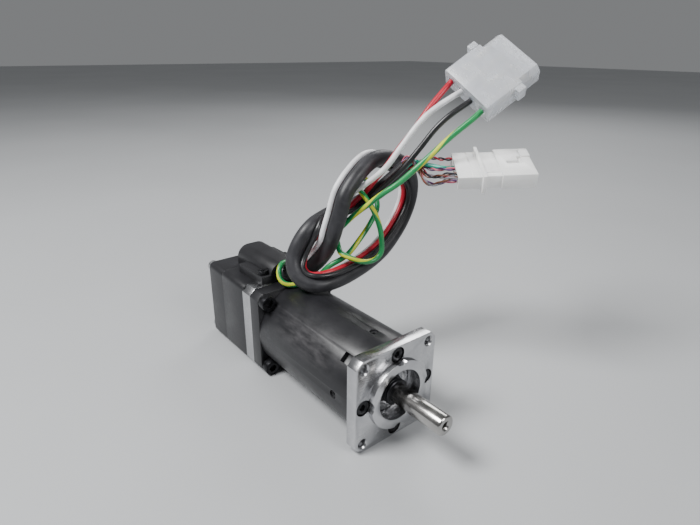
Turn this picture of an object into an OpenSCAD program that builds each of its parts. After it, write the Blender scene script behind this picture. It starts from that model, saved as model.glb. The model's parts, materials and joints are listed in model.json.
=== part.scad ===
/* [Frame] */
// Side of the square flanges
frame_w = 40; // [40:0.1:41]
// Flat cut off each corner of a flange
corner_cut = 2.8; // [2:0.1:3]
// Spacing of the mounting holes, both ways
mount_spacing = 32.5; // [32:0.1:33]
// Diameter of the mounting holes
mount_hole_d = 3.4; // [3.2:0.1:4]

/* [Output] */
// Diameter of the output shaft
shaft_d = 8; // [6:0.5:8]
// Length of the shaft ahead of the flange face
shaft_len = 25; // [20:0.5:30]
// Diameter of the centring boss
pilot_d = 28.5; // [27:0.5:29]
// Height of the centring boss
pilot_h = 2.5; // [2:0.1:3]
// Diameter of the recess in the boss
recess_d = 21; // [20:0.5:22]
// Thickness of the output flange
flange_t = 5; // [5:0.1:6]

/* [Lengths] */
// Length of the round gearhead body
gearhead_len = 62.8; // [62:0.1:66]
// Thickness of the black adapter flange
adapter_t = 7.2; // [7:0.1:8]
// Thickness of the silver motor bracket
bracket_t = 7; // [7:0.1:8]
// Length of the motor case
case_len = 21; // [21:0.1:24]
// Length of the rear cover
cover_len = 13.8; // [13.8:0.1:16]

/* [Gears] */
// Gear module
gear_module = 0.6; // [0.6]
// Teeth on each sun gear
sun_teeth = 12; // [12]
// Teeth on each planet gear
planet_teeth = 18; // [18]
// Teeth on the ring gear
ring_teeth = 48; // [48]

/* [Cables] */
// Diameter of the black jacket
jacket_d = 7; // [6:0.1:7]
// Diameter of each power core
core_d = 2.4; // [2:0.1:2.4]

/* [Hidden] */
$fn = 48;

// Stations along the shaft axis, from the flange face back
half_w = frame_w / 2;
body_front = -flange_t;
body_rear = body_front - gearhead_len;
adapter_rear = body_rear - adapter_t;
bracket_rear = adapter_rear - bracket_t;
case_rear = bracket_rear - case_len;
cover_rear = case_rear - cover_len;
case_half_w = half_w - 0.25;

// Fastener sizes
m3_r = 1.5;
m3_head_r = 2.75;
m4_r = 2;
m4_head_r = 3.5;
flange_screw_circle = 16.25;
adapter_screw_at = 16.4;
cover_screw_at = 16.2;

// Output end
shaft_r = shaft_d / 2;
snap_groove_r = shaft_r - 0.3;
recess_r = recess_d / 2;
running_gap = 0.05;
journal_r = 5;
bearing_r = 11;
bearing_w = 6;
bearing_front = -9;
bearing_rear = -20;
body_bore_r = 17;
carrier_r = 13.2;
carrier_front = -28.4;

// Gears
sun_pitch_r = gear_module * sun_teeth / 2;
planet_pitch_r = gear_module * planet_teeth / 2;
ring_pitch_r = gear_module * ring_teeth / 2;
planet_centre_r = sun_pitch_r + planet_pitch_r;
planet_angles = [90, 210, 330];
pin_r = 1.5;
output_stage = -42;
first_stage = -58;
planet_w = 8.6;

// Motor
stator_r = 18;
magnet_r = 9.6;
rotor_front = bracket_rear - 3.2;
stator_len = 14;
rear_plate_front = case_rear + 0.5;
rear_plate_rear = case_rear - 3.4;

// Cable outlet on top of the case
outlet_front = adapter_rear - 0.5;
outlet_rear = adapter_rear - 32;
plate_rear = adapter_rear - 22;
plate_half_w = 13;
plate_h = 4;
hump_half_w = 8.5;
hump_h = 9;
hump_round = 6;
outlet_screw_at = [outlet_front - 3.8, 10.2];

// Connectors
power_place = [-27.5, 59.5, 102.8];
power_turn = [42, 32, 4];
power_pitch = 6.35;
encoder_place = [-22.8, 50.4, 74];
encoder_turn = [3, 17, -39];

// Route of the black jacket, from the outlet round one and a half turns to its cut end
jacket_route = [
    [-75.5, -2, 24], [-70.5, 1.5, 24.6], [-65.5, 8.5, 28.5], [-60, 11.5, 36], [-56, 12, 45],
    [-53.5, 14, 54], [-53, 17, 63], [-53.5, 24, 70], [-54.5, 33, 75], [-55.5, 43, 75],
    [-57, 55, 70], [-58.5, 62, 60], [-58.5, 60.5, 49], [-57, 52.5, 39], [-55, 40, 30.5],
    [-53.5, 25.5, 26], [-53, 12, 24], [-54.5, 2, 23.7], [-59, -2.5, 24.7], [-63.5, -4, 28.5],
    [-65.5, -2, 34.5], [-65, 1, 41], [-64, 6.5, 47], [-66, 17, 50], [-63, 26, 53],
    [-58, 30.5, 56.5], [-51, 35, 62.5], [-43, 42.5, 73]
];
jacket_steps = 2;
coil_centre = [-57, 29, 49];
core_gap = jacket_d / 2 + core_d / 2 + 0.15;

// The earth core leaves the others, ties the coil, then runs to the power connector
earth_route = [
    [-75.5, 1.5, 27], [-74, -1.5, 29.3], [-72, -5.5, 29], [-70.5, -7, 26], [-69, -7, 23],
    [-66.5, -4, 21.4], [-63, 2, 21.8], [-60, 8, 25], [-56.5, 12, 30], [-54, 18.5, 34],
    [-54, 26, 40], [-55, 33.5, 46.5], [-58, 40, 52], [-63, 42, 58], [-64, 36, 66],
    [-63, 29, 70.5], [-61, 24, 70.5], [-62, 26, 66], [-58, 28, 62.5], [-50, 25.5, 61],
    [-47, 28, 55], [-46, 31, 47], [-46, 32.5, 39], [-46, 32, 34], [-47, 27.5, 31.5],
    [-48, 21.5, 32.5], [-50, 16, 35.5], [-54, 15, 36.5], [-58.5, 17, 39], [-60.5, 18, 43],
    [-57, 20, 48], [-52, 22, 53.5], [-46, 24.5, 59], [-40.5, 26.5, 64], [-35.5, 31, 69],
    [-31, 35.5, 75], [-28, 41, 80.5], [-25, 49, 87.5], [-21, 56, 94],
    [-19.5, 60, 97.5]
];

// Each other power core: where it leaves, its angle round the jacket, and its free end
red_exit = [-75.5, 3.2, 24.2];
red_angle = 0;
red_tail = [
    [-58, 26, 57], [-52, 29, 64.5], [-46, 32.5, 73], [-41.5, 36.5, 82], [-38.5, 42, 90],
    [-37, 49, 98.5], [-35.5, 59, 108]
];
white_exit = [-75.5, 5.6, 22.6];
white_angle = 34;
white_tail = [
    [-57.5, 24, 59.5], [-50.5, 26, 66], [-42, 29.5, 74.5], [-39, 34, 82], [-36.5, 42.5, 92.5],
    [-33.5, 49, 98.5], [-30, 59.5, 104.5]
];
black_exit = [-75.5, 3, 21.6];
black_angle = -34;
black_tail = [
    [-56.5, 27, 55], [-49, 29.5, 61], [-43, 32.5, 68], [-38, 36, 74.5], [-34.5, 41.5, 82.5],
    [-31.5, 46.5, 90], [-28.5, 51.5, 95.5], [-25, 59.5, 101]
];

// Smooth curve through a list of points
function blend(a, b, c, d, t) =
    0.5 * (2 * b + (c - a) * t + (2 * a - 5 * b + 4 * c - d) * t * t
        + (3 * b - a - 3 * c + d) * t * t * t);
function curve(p, steps) = let (last = len(p) - 1) [
    for (i = [0:last - 1])
        for (k = [0:steps - 1])
            blend(p[max(i - 1, 0)], p[i], p[i + 1], p[min(i + 2, last)], k / steps),
    p[last]
];
function unit(v) = v / norm(v);
function tangents(p) = let (last = len(p) - 1)
    [for (i = [0:last]) unit(p[min(i + 1, last)] - p[max(i - 1, 0)])];
function across(v, t) = unit(v - t * (v * t));

// Side directions carried along a path without twist
function carried(t, side, i = 0) = i == len(t) ? [] :
    let (next = across(side, t[i])) concat([next], carried(t, next, i + 1));

function ease(x) = let (c = min(max(x, 0), 1)) c * c * (3 - 2 * c);

// The cores lie behind the jacket on its way up and inside the coil on its way round
function core_turn(i) = 92 * ease(i / 4) * (1 - ease((i - 7) / 5));
function beside_jacket(angle) =
    let (p = curve(jacket_route, jacket_steps), t = tangents(p))
    [for (i = [jacket_steps:23 * jacket_steps])
        let (inward = across(coil_centre - p[i], t[i]),
            a = angle + core_turn(i / jacket_steps))
        p[i] + core_gap * (cos(a) * inward + sin(a) * cross(t[i], inward))];
function core_route(exit, angle, tail) = concat([exit], beside_jacket(angle), tail);

// Encoder wires fan out from the jacket's cut end to the encoder connector
wire_d = 1.2;
wire_count = 8;
jacket_end = jacket_route[len(jacket_route) - 1];
jacket_end_side = [0.6, -0.64, 0.4];

module tube(points, r, sides) {
    t = tangents(points);
    u = carried(t, abs(t[0][0]) > 0.8 ? [0, 0, 1] : [1, 0, 0]);
    rings = len(points);
    ring_points = [for (i = [0:rings - 1]) for (k = [0:sides - 1])
        let (a = 360 * k / sides) points[i] + r * (cos(a) * u[i] + sin(a) * cross(t[i], u[i]))];
    walls = [for (i = [0:rings - 2]) for (k = [0:sides - 1])
        let (a = i * sides + k, b = i * sides + (k + 1) % sides)
        each [[a, a + sides, b], [b, a + sides, b + sides]]];
    first_cap = [for (k = [0:sides - 1]) k];
    last_cap = [for (k = [sides - 1:-1:0]) (rings - 1) * sides + k];
    polyhedron(ring_points, concat([first_cap, last_cap], walls));
}

// Turn a shape drawn along Z so that it runs along X from x
module at_x(x) {
    translate([x, 0, 0]) rotate([90, 0, 90]) children();
}

module disc(x_front, x_rear, r) {
    at_x(x_rear) cylinder(h = x_front - x_rear, r = r);
}

module hoop(x_front, x_rear, outer_r, inner_r) {
    difference() {
        disc(x_front, x_rear, outer_r);
        disc(x_front + 1, x_rear - 1, inner_r);
    }
}

module at_corners(spacing) {
    for (y = [-spacing / 2, spacing / 2])
        for (z = [-spacing / 2, spacing / 2])
            translate([0, y, z]) children();
}

module round_about(count, r, start = 0) {
    for (i = [0:count - 1])
        rotate([start + 360 * i / count, 0, 0]) translate([0, r, 0]) children();
}

// Square plate with cut corners
module flange_plate(x_front, x_rear) {
    a = half_w;
    b = half_w - corner_cut;
    at_x(x_rear) linear_extrude(x_front - x_rear)
        polygon([[a, b], [b, a], [-b, a], [-a, b], [-a, -b], [-b, -a], [b, -a], [a, -b]]);
}

// Square block with rounded corners
module case_block(x_front, x_rear, corner_r) {
    w = case_half_w;
    c = w - corner_r;
    len = x_front - x_rear;
    translate([x_rear, -w, -c]) cube([len, 2 * w, 2 * c]);
    translate([x_rear, -c, -w]) cube([len, 2 * c, 2 * w]);
    at_corners(2 * c) disc(x_front, x_rear, corner_r);
}

// Socket cap screw with the top of its head at x = 0, pointing along -X
module cap_screw(r, head_r, length) {
    head_h = 2 * r;
    difference() {
        union() {
            disc(0, -head_h, head_r);
            disc(-head_h, -head_h - length, r);
        }
        at_x(-head_h * 0.55) cylinder(h = head_h, r = r * 0.95, $fn = 6);
    }
}

// Gear outline: flat-sided teeth, given by half widths at the root and at the tip
module gear_outline(teeth, root_r, tip_r, root_half, tip_half) {
    root_a = asin(root_half / root_r);
    tip_a = asin(tip_half / tip_r);
    polygon([for (i = [0:teeth - 1]) let (mid = i * 360 / teeth)
        each [for (c = [[root_r, -root_a], [tip_r, -tip_a], [tip_r, tip_a], [root_r, root_a]])
            c[0] * [cos(mid + c[1]), sin(mid + c[1])]]]);
}

module sun_teeth_solid(x_front, x_rear) {
    at_x(x_rear) linear_extrude(x_front - x_rear) rotate(90 + 180 / sun_teeth)
        gear_outline(sun_teeth, sun_pitch_r - 0.8, sun_pitch_r + 0.4, 0.6, 0.24);
}

module planet_gear(x_rear) {
    difference() {
        at_x(x_rear) linear_extrude(planet_w)
            gear_outline(planet_teeth, planet_pitch_r - 0.75, planet_pitch_r + 0.4, 0.56, 0.2);
        disc(x_rear + planet_w + 1, x_rear - 1, pin_r + running_gap);
    }
}

module planet_at(stage, index) {
    color("dimgray") rotate([planet_angles[index], 0, 0])
        translate([0, planet_centre_r, 0]) planet_gear(stage);
}

module planet_pins(x_front, x_rear) {
    color("silver") round_about(3, planet_centre_r, planet_angles[0])
        disc(x_front, x_rear, pin_r);
}

module output_flange() {
    hub_rear = carrier_front + 0.5;
    head_seat = 3.4;
    color("silver") difference() {
        union() {
            flange_plate(0, -flange_t);
            disc(pilot_h, 0, pilot_d / 2);
            disc(-flange_t, hub_rear, body_bore_r);
        }
        disc(pilot_h + 1, -8.6, recess_r);
        disc(-8.6, hub_rear - 1, bearing_r);
        at_corners(mount_spacing) disc(1, -flange_t - 1, mount_hole_d / 2);
        round_about(4, flange_screw_circle) {
            disc(pilot_h + 1, -head_seat, 3.25);
            disc(0, hub_rear - 1, m3_r + 0.1);
        }
        round_about(4, flange_screw_circle) translate([hub_rear - 1, -3, -4])
            cube([-flange_t - hub_rear + 1, 8, 8]);
        disc(-26.4, -27.6, bearing_r + 0.6);
    }
}

module flange_screws() {
    color([0.1, 0.1, 0.1]) round_about(4, flange_screw_circle)
        translate([-0.4, 0, 0]) cap_screw(m3_r, m3_head_r, 7);
}

module oil_seal() {
    color([0.12, 0.12, 0.12]) hoop(-4.4, -8.6, recess_r, shaft_r + running_gap);
}

module race_pair(fronts, width, outer_r, inner_r) {
    for (x = fronts)
        hoop(x, x - width, outer_r, inner_r);
}

module ball_groove(fronts, width, centre_r, ball_r) {
    for (x = fronts)
        at_x(x - width / 2) rotate_extrude() translate([centre_r, 0]) circle(r = ball_r + 0.04);
}

output_bearings = [bearing_front, bearing_rear];
output_ball_r = 1.7;
output_ball_circle = 8;

module output_bearing_outer_rings() {
    color("lightsteelblue") difference() {
        race_pair(output_bearings, bearing_w, bearing_r, output_ball_circle + 1);
        ball_groove(output_bearings, bearing_w, output_ball_circle, output_ball_r);
    }
}

module output_bearing_inner_rings() {
    color("lightsteelblue") difference() {
        race_pair(output_bearings, bearing_w, output_ball_circle - 1, journal_r);
        ball_groove(output_bearings, bearing_w, output_ball_circle, output_ball_r);
    }
}

module output_bearing_balls() {
    color("white") for (x = output_bearings)
        round_about(8, output_ball_circle)
            translate([x - bearing_w / 2, 0, 0]) sphere(r = output_ball_r);
}

module bearing_spacer() {
    color("darkkhaki") hoop(bearing_front - bearing_w, bearing_rear, bearing_r, bearing_r - 1.4);
}

module bearing_circlip() {
    color([0.2, 0.2, 0.2]) difference() {
        hoop(-26.45, -27.55, bearing_r + 0.55, bearing_r - 1.4);
        translate([-29, -2, -14]) cube([4, 4, 8]);
    }
}

module gearhead_housing() {
    pocket_len = 9.7;
    pocket_w = 4.1;
    pocket_floor = 17.8;
    color([0.13, 0.13, 0.14]) difference() {
        union() {
            hoop(body_front, body_rear, half_w, body_bore_r);
            round_about(4, flange_screw_circle)
                translate([body_front - 12, -2.8, -3.8]) cube([12, 4.6, 7.6]);
        }
        for (a = [45:90:315])
            rotate([a, 0, 0]) translate([body_front - pocket_len, pocket_floor, -pocket_w / 2])
                cube([pocket_len + 1, 4, pocket_w]);
        round_about(4, 15.5) translate([-13.5, 0, 0]) rotate([-90, 0, 0])
            cylinder(h = 6, r = 1.75);
        at_corners(2 * adapter_screw_at) disc(body_rear + 5, body_rear - 1, m4_head_r + 0.25);
        round_about(4, flange_screw_circle)
            disc(body_front + 1, body_front - 7, m3_r);
    }
}

module access_plugs() {
    color([0.2, 0.2, 0.22]) round_about(4, 17.2)
        translate([-13.5, 0, 0]) rotate([-90, 0, 0]) difference() {
            cylinder(h = 2, r = 1.75);
            translate([0, 0, 1]) cylinder(h = 2, r = 0.8, $fn = 6);
        }
}

module ring_gear() {
    color("gray") difference() {
        disc(-33, -60, body_bore_r);
        at_x(-61) linear_extrude(29) rotate(90)
            gear_outline(ring_teeth, ring_pitch_r - 0.45, ring_pitch_r + 0.75, 0.76, 0.3);
    }
}

module adapter_flange() {
    color([0.12, 0.12, 0.13]) difference() {
        union() {
            flange_plate(body_rear, adapter_rear);
            disc(body_rear + 5, body_rear, body_bore_r);
        }
        disc(body_rear + 6, adapter_rear - 1, 11);
        disc(adapter_rear + 2.6, adapter_rear - 1, 15);
        at_corners(2 * adapter_screw_at) disc(body_rear + 1, adapter_rear - 1, m4_r);
    }
}

module adapter_screws() {
    color([0.08, 0.08, 0.08]) at_corners(2 * adapter_screw_at)
        translate([body_rear + 2 * m4_r, 0, 0]) cap_screw(m4_r, m4_head_r, adapter_t + 5);
}

module motor_bracket() {
    color("gainsboro") difference() {
        union() {
            flange_plate(adapter_rear, bracket_rear);
            disc(adapter_rear + 2.4, adapter_rear, 15);
            disc(bracket_rear, bracket_rear - 2, stator_r);
        }
        disc(adapter_rear + 3, bracket_rear - 3, 6.5);
        disc(adapter_rear - 0.6, bracket_rear - 3, 9.5);
        disc(bracket_rear + 1, bracket_rear - 3, 15.5);
        at_corners(2 * adapter_screw_at) disc(adapter_rear + 1, adapter_rear - 5, m4_r);
        for (y = [-1, 1])
            translate([outlet_screw_at[0], y * outlet_screw_at[1], half_w - 4.5])
                cylinder(h = 6, r = 1.25);
    }
}

module motor_case() {
    color([0.1, 0.1, 0.11]) difference() {
        case_block(bracket_rear, case_rear, 3);
        disc(bracket_rear + 1, case_rear - 1, stator_r);
        at_corners(2 * cover_screw_at) disc(case_rear + 9, case_rear - 1, m3_r);
        translate([case_rear + 2, -5, 12]) cube([8, 10, 10]);
    }
}

module rear_cover() {
    color([0.1, 0.1, 0.11]) difference() {
        case_block(case_rear, cover_rear, 3);
        disc(case_rear + 1, rear_plate_rear, stator_r);
        disc(case_rear, cover_rear + 2, 17);
        at_corners(2 * cover_screw_at) disc(case_rear + 1, cover_rear - 1, m3_r);
    }
}

module rear_cover_screws() {
    washer_h = 0.6;
    color("silver") at_corners(2 * cover_screw_at) {
        hoop(cover_rear, cover_rear - washer_h, 3.2, m3_r);
        translate([cover_rear - washer_h - 2 * m3_r, 0, 0]) mirror([1, 0, 0])
            cap_screw(m3_r, m3_head_r, cover_len + washer_h + 8);
    }
}

module stator_slots(r) {
    round_about(9, 14.2) disc(rotor_front + 1, rotor_front - stator_len - 1, r);
}

module stator_core() {
    color("slategray") difference() {
        hoop(rotor_front, rotor_front - stator_len, stator_r, 10.2);
        stator_slots(2.3);
        round_about(9, 11.5) translate([rotor_front - stator_len - 1, -2, -0.5])
            cube([stator_len + 2, 4, 1]);
    }
}

module stator_windings() {
    end_r = 13.2;
    color("chocolate") {
        stator_slots(2.1);
        for (x = [rotor_front + 1.3, rotor_front - stator_len - 1.3])
            at_x(x) rotate_extrude() translate([end_r - 2.1, -1.1]) square([4.2, 2.2]);
    }
}

module rear_bearing_plate() {
    color("gainsboro") difference() {
        disc(rear_plate_front, rear_plate_rear, stator_r);
        disc(rear_plate_front + 1, rear_plate_rear - 1, 6.5);
        disc(rear_plate_front + 1, rear_plate_rear + 0.6, 8.5);
        round_about(3, 14.6) disc(rear_plate_front + 1, rear_plate_rear - 1, 1);
    }
}

rear_bearing_w = 3.8;
rear_bearing_front = rear_plate_front + 0.5;

module motor_bearing_outer_rings() {
    color("lightsteelblue") {
        difference() {
            hoop(adapter_rear - 0.9, adapter_rear - 6.9, 9.5, 7.8);
            ball_groove([adapter_rear - 0.9], 6, 6.75, 1.5);
        }
        difference() {
            hoop(rear_bearing_front, rear_bearing_front - rear_bearing_w, 8.5, 6.8);
            ball_groove([rear_bearing_front], rear_bearing_w, 5.75, 1.5);
        }
    }
}

module motor_bearing_inner_rings() {
    color("lightsteelblue") {
        difference() {
            hoop(adapter_rear - 0.9, adapter_rear - 6.9, 5.7, 4);
            ball_groove([adapter_rear - 0.9], 6, 6.75, 1.5);
        }
        difference() {
            hoop(rear_bearing_front, rear_bearing_front - rear_bearing_w, 4.7, 3);
            ball_groove([rear_bearing_front], rear_bearing_w, 5.75, 1.5);
        }
    }
}

module motor_bearing_balls() {
    color("white") {
        round_about(8, 6.75) translate([adapter_rear - 3.9, 0, 0]) sphere(r = 1.5);
        round_about(7, 5.75)
            translate([rear_bearing_front - rear_bearing_w / 2, 0, 0]) sphere(r = 1.5);
    }
}

module preload_washer() {
    color("silver") hoop(adapter_rear - 0.6, adapter_rear - 0.9, 9.2, 7.9);
}

board_front = cover_rear + 5;

module encoder_board() {
    color("darkgreen") difference() {
        disc(board_front, board_front - 1.4, 16.2);
        disc(board_front + 1, board_front - 3, 4);
        round_about(3, 14.6) disc(board_front + 1, board_front - 3, 1);
    }
}

module encoder_standoffs() {
    color("gold") round_about(3, 14.6) {
        disc(rear_plate_rear, board_front, 1.8);
        disc(case_rear - 2, board_front - 2.4, 1);
        disc(board_front - 1.4, board_front - 2.6, 1.7);
    }
}

module encoder_sensor() {
    color([0.15, 0.15, 0.15]) translate([board_front, -3, 6.5]) cube([0.9, 6, 4.5]);
}

// Upright outline with two rounded top corners
module hump_outline(half_width, height, round_r) {
    flat = half_width - round_r;
    intersection() {
        translate([-half_width, 0]) square([2 * half_width, height]);
        union() {
            translate([-half_width, -round_r]) square([2 * half_width, height]);
            translate([-flat, 0]) square([2 * flat, height]);
            for (s = [-1, 1])
                translate([s * flat, height - round_r]) circle(r = round_r);
        }
    }
}

module cable_outlet() {
    wall = 1.4;
    x_len = outlet_front - outlet_rear;
    skirt = half_w - case_half_w;
    color([0.09, 0.09, 0.1]) difference() {
        union() {
            translate([plate_rear, -plate_half_w, half_w])
                cube([outlet_front - plate_rear, 2 * plate_half_w, plate_h]);
            translate([outlet_rear, 0, half_w]) rotate([90, 0, 90])
                linear_extrude(x_len) hump_outline(hump_half_w, hump_h, hump_round);
            translate([plate_rear, -plate_half_w, case_half_w])
                cube([bracket_rear - plate_rear, 2 * plate_half_w, skirt]);
            translate([outlet_rear, -hump_half_w, case_half_w])
                cube([bracket_rear - outlet_rear, 2 * hump_half_w, skirt]);
        }
        translate([outlet_rear + wall, 0, half_w - 1]) rotate([90, 0, 90])
            linear_extrude(x_len)
                hump_outline(hump_half_w - wall, hump_h + 1 - wall, hump_round - wall);
        for (s = [-1, 1]) {
            translate([outlet_screw_at[0], s * outlet_screw_at[1], half_w - 1])
                cylinder(h = 6, r = 1.35);
            translate([outlet_screw_at[0], s * outlet_screw_at[1], half_w + plate_h])
                cylinder(h = 10, r = 2.7);
        }
    }
}

module outlet_screws() {
    color([0.15, 0.15, 0.15]) for (s = [-1, 1])
        translate([outlet_screw_at[0], s * outlet_screw_at[1], half_w + plate_h])
            difference() {
                union() {
                    cylinder(h = 2, r = 2.3);
                    translate([0, 0, -plate_h - 4]) cylinder(h = plate_h + 4.5, r = 1.25);
                }
                translate([-0.35, -1.4, 1]) cube([0.7, 2.8, 2]);
                translate([-1.4, -0.35, 1]) cube([2.8, 0.7, 2]);
            }
}

module cable_grommet() {
    color([0.05, 0.05, 0.05]) translate([outlet_front - 4, 0, half_w]) rotate([90, 0, 90])
        linear_extrude(4) hump_outline(7.1, 7.6, 4.6);
}

module encoder_cable() {
    color([0.1, 0.1, 0.12]) tube(curve(jacket_route, jacket_steps), jacket_d / 2, 12);
}

module red_core() {
    color("crimson") tube(core_route(red_exit, red_angle, red_tail), core_d / 2, 8);
}

module white_core() {
    color("white") tube(core_route(white_exit, white_angle, white_tail), core_d / 2, 8);
}

module black_core() {
    color("black") tube(core_route(black_exit, black_angle, black_tail), core_d / 2, 8);
}

module earth_core() {
    color("limegreen") tube(curve(earth_route, 2), core_d / 2, 8);
}

module encoder_wires() {
    start_dir = unit(jacket_end - jacket_route[len(jacket_route) - 2]);
    side = across(jacket_end_side, start_dir);
    color("teal") for (i = [0:wire_count - 1]) {
        a = 360 * i / wire_count;
        from = jacket_end + 2.2 * (cos(a) * side + sin(a) * cross(start_dir, side));
        to = encoder_place + turned(encoder_turn, [(i - (wire_count - 1) / 2) * 2.2, 0, 0]);
        out = turned(encoder_turn, [0, -7, 0]);
        bow = [0, 0, 1.5];
        tube(curve([from, from + 5 * start_dir, to + out + bow, to], 2), wire_d / 2, 8);
    }
}

// A point turned as rotate() turns it
function turned(r, v) =
    let (a = [v[0], v[1] * cos(r[0]) - v[2] * sin(r[0]), v[1] * sin(r[0]) + v[2] * cos(r[0])],
        b = [a[0] * cos(r[1]) + a[2] * sin(r[1]), a[1], a[2] * cos(r[1]) - a[0] * sin(r[1])])
    [b[0] * cos(r[2]) - b[1] * sin(r[2]), b[0] * sin(r[2]) + b[1] * cos(r[2]), b[2]];

module box_on(x_half, y_from, y_to, z_half) {
    translate([-x_half, y_from, -z_half]) cube([2 * x_half, y_to - y_from, 2 * z_half]);
}

module power_connector() {
    color([0.93, 0.93, 0.95]) translate(power_place) rotate(power_turn) difference() {
        union() {
            box_on(13.2, 0, 17.5, 4.9);
            box_on(11.3, 17.5, 27.5, 4.2);
            box_on(15.6, 13.4, 17, 2.2);
        }
        for (i = [-1.5:1:1.5])
            translate([i * power_pitch, 5, 0]) rotate([-90, 0, 0]) cylinder(h = 30, r = 1.9);
    }
}

module power_contacts() {
    color("goldenrod") translate(power_place) rotate(power_turn)
        for (i = [-1.5:1:1.5])
            translate([i * power_pitch, 6, 0]) rotate([-90, 0, 0]) difference() {
                cylinder(h = 17, r = 1.9);
                translate([0, 0, 8]) cylinder(h = 10, r = 1.1);
            }
}

module encoder_connector() {
    color("whitesmoke") translate(encoder_place) rotate(encoder_turn) difference() {
        union() {
            box_on(10.4, 0, 17.4, 2.6);
            box_on(12.6, 9.4, 10.8, 4);
            box_on(10.8, 17.4, 31, 2.8);
            translate([-10.8, 17.4, 2.6]) cube([21.6, 13.6, 0.7]);
            translate([-9.4, 27.2, 3]) cube([6.2, 3.8, 1]);
        }
        for (i = [-3.5:1:3.5])
            translate([i * 2.4, 24, 0]) rotate([-90, 0, 0]) cylinder(h = 10, r = 0.8);
    }
}

module output_shaft() {
    chamfer = 0.5;
    color("silver") difference() {
        union() {
            disc(shaft_len - chamfer, bearing_front + 0.2, shaft_r);
            at_x(shaft_len - chamfer)
                cylinder(h = chamfer, r1 = shaft_r, r2 = shaft_r - chamfer);
            disc(bearing_front + 0.2, carrier_front, journal_r);
            disc(carrier_front, -32.6, carrier_r);
        }
        hoop(-2.6, -3.8, shaft_r + 1, snap_groove_r);
        disc(shaft_len + 1, shaft_len - 12, 1.25);
        at_x(shaft_len - 0.8) cylinder(h = 0.8, r1 = 1.25, r2 = 2.05);
        round_about(3, planet_centre_r, planet_angles[0]) disc(-29.4, -34, pin_r);
    }
}

module output_planet_pins() {
    planet_pins(-29.4, -42.6);
}

module shaft_snap_ring() {
    color([0.1, 0.1, 0.1]) difference() {
        hoop(-2.6, -3.8, shaft_r + 1.6, snap_groove_r);
        translate([-5, -1.2, -7]) cube([4, 2.4, 4]);
    }
}

module first_carrier() {
    color("slategray") difference() {
        disc(-44.4, -48.4, carrier_r);
        disc(-43, -50, 2.6);
        round_about(3, planet_centre_r, planet_angles[0]) disc(-45.4, -50, pin_r);
    }
}

module first_planet_pins() {
    planet_pins(-45.4, -58.6);
}

module output_sun_gear() {
    color("dimgray") {
        sun_teeth_solid(-33.6, -44.4);
        disc(-44.4, -48.4, 2.6);
    }
}

module rotor_shaft() {
    color("silver") {
        disc(-64.5, adapter_rear - 7.2, 4);
        disc(adapter_rear - 7.2, rear_bearing_front, 5.6);
        disc(rear_bearing_front, board_front - 1, 3);
    }
}

module rotor_core() {
    color("slategray") hoop(rotor_front, rotor_front - stator_len, 8.2, 5.6);
}

module rotor_magnets() {
    color([0.25, 0.25, 0.27]) difference() {
        hoop(rotor_front - 0.5, rotor_front - stator_len + 0.5, magnet_r, 8.2);
        for (a = [0:45:135])
            rotate([a, 0, 0]) translate([rotor_front - stator_len, -12, -0.3])
                cube([stator_len, 24, 0.6]);
    }
}

module input_coupling() {
    color("silver") difference() {
        disc(-60.6, -72, 9.5);
        disc(-60, -64.5, 2.6);
        disc(-64.5, -73, 4);
        translate([-73, 0, -0.6]) cube([8, 12, 1.2]);
        translate([-68.5, 6.6, -12]) cylinder(h = 24, r = 1.1);
        translate([-68.5, 6.6, 4.2]) cylinder(h = 8, r = 2);
        translate([-68.5, 6.6, -12]) cylinder(h = 7.5, r = 1.6);
    }
}

module coupling_screw() {
    color([0.1, 0.1, 0.1]) translate([-68.5, 6.6, 4.2]) difference() {
        union() {
            cylinder(h = 2, r = 1.9);
            translate([0, 0, -8.2]) cylinder(h = 8.2, r = 1.1);
        }
        translate([0, 0, 0.9]) cylinder(h = 2, r = 0.9, $fn = 6);
    }
}

module input_sun_gear() {
    color("dimgray") {
        sun_teeth_solid(-49.4, -60.6);
        disc(-60.6, -64.5, 2.6);
    }
}

module encoder_hub() {
    color("silver") hoop(case_rear - 3.9, case_rear - 5.6, 6, 3);
}

module encoder_disc() {
    color("lightcyan") hoop(case_rear - 5.6, case_rear - 6.4, 12.2, 3);
}

output_flange();
flange_screws();
oil_seal();
output_bearing_outer_rings();
bearing_spacer();
bearing_circlip();
gearhead_housing();
access_plugs();
ring_gear();
adapter_flange();
adapter_screws();
motor_bracket();
motor_case();
rear_cover();
rear_cover_screws();
stator_core();
stator_windings();
rear_bearing_plate();
motor_bearing_outer_rings();
preload_washer();
encoder_board();
encoder_standoffs();
encoder_sensor();
cable_outlet();
outlet_screws();
cable_grommet();
encoder_cable();
red_core();
white_core();
black_core();
earth_core();
encoder_wires();
power_connector();
power_contacts();
encoder_connector();
output_shaft();
output_planet_pins();
output_bearing_inner_rings();
output_bearing_balls();
shaft_snap_ring();
first_carrier();
first_planet_pins();
output_sun_gear();
rotor_shaft();
rotor_core();
rotor_magnets();
motor_bearing_inner_rings();
motor_bearing_balls();
input_coupling();
coupling_screw();
input_sun_gear();
encoder_hub();
encoder_disc();
planet_at(first_stage, 0);  // first_planet_1
planet_at(first_stage, 1);  // first_planet_2
planet_at(first_stage, 2);  // first_planet_3
planet_at(output_stage, 0);  // output_planet_1
planet_at(output_stage, 1);  // output_planet_2
planet_at(output_stage, 2);  // output_planet_3
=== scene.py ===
import json
import math

import bmesh
import bpy
import numpy as np
from mathutils import Euler, Matrix, Vector


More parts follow.
